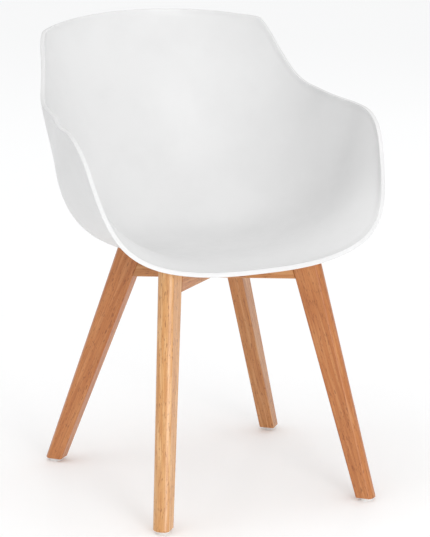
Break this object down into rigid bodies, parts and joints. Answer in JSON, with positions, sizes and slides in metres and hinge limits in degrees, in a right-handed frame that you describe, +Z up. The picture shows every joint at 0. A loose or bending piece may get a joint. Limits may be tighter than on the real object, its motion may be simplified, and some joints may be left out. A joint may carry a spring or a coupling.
{
  "type": "dining chair",
  "caption": "Dining armchair with a one-piece white plastic bucket seat and low arms, on crossed beech frames with splayed, tapered legs.",
  "frame": {"origin": "on the floor, under the middle of the chair's bounding box", "axes": "+Z up, the sitter faces -Y, +X is the sitter's left"},
  "size_m": [0.5714, 0.581, 0.7992],
  "materials": {
    "white_polypropylene": "satin, fine texture",
    "beech": "clear satin lacquer",
    "white_nylon": "satin",
    "black_rubber": "matt",
    "zinc_plated_steel": "bright zinc",
    "brass": "plain"
  },
  "bodies": {
    "root": {"seat_shell": "white_polypropylene", "front_left_leg": "beech", "front_right_leg": "beech", "rear_left_leg": "beech", "rear_right_leg": "beech", "front_left_cross_rail": "beech", "front_right_cross_rail": "beech", "front_left_glide": "white_nylon", "front_right_glide": "white_nylon", "rear_left_glide": "white_nylon", "rear_right_glide": "white_nylon", "front_left_seat_pad": "black_rubber", "front_right_seat_pad": "black_rubber", "rear_left_seat_pad": "black_rubber", "rear_right_seat_pad": "black_rubber", "leg_dowels": "beech", "seat_inserts": "brass", "seat_bolts": "zinc_plated_steel", "seat_washers": "zinc_plated_steel", "cross_joint_screw": "zinc_plated_steel", "glide_nails": "zinc_plated_steel"}
  },
  "joints": []
}
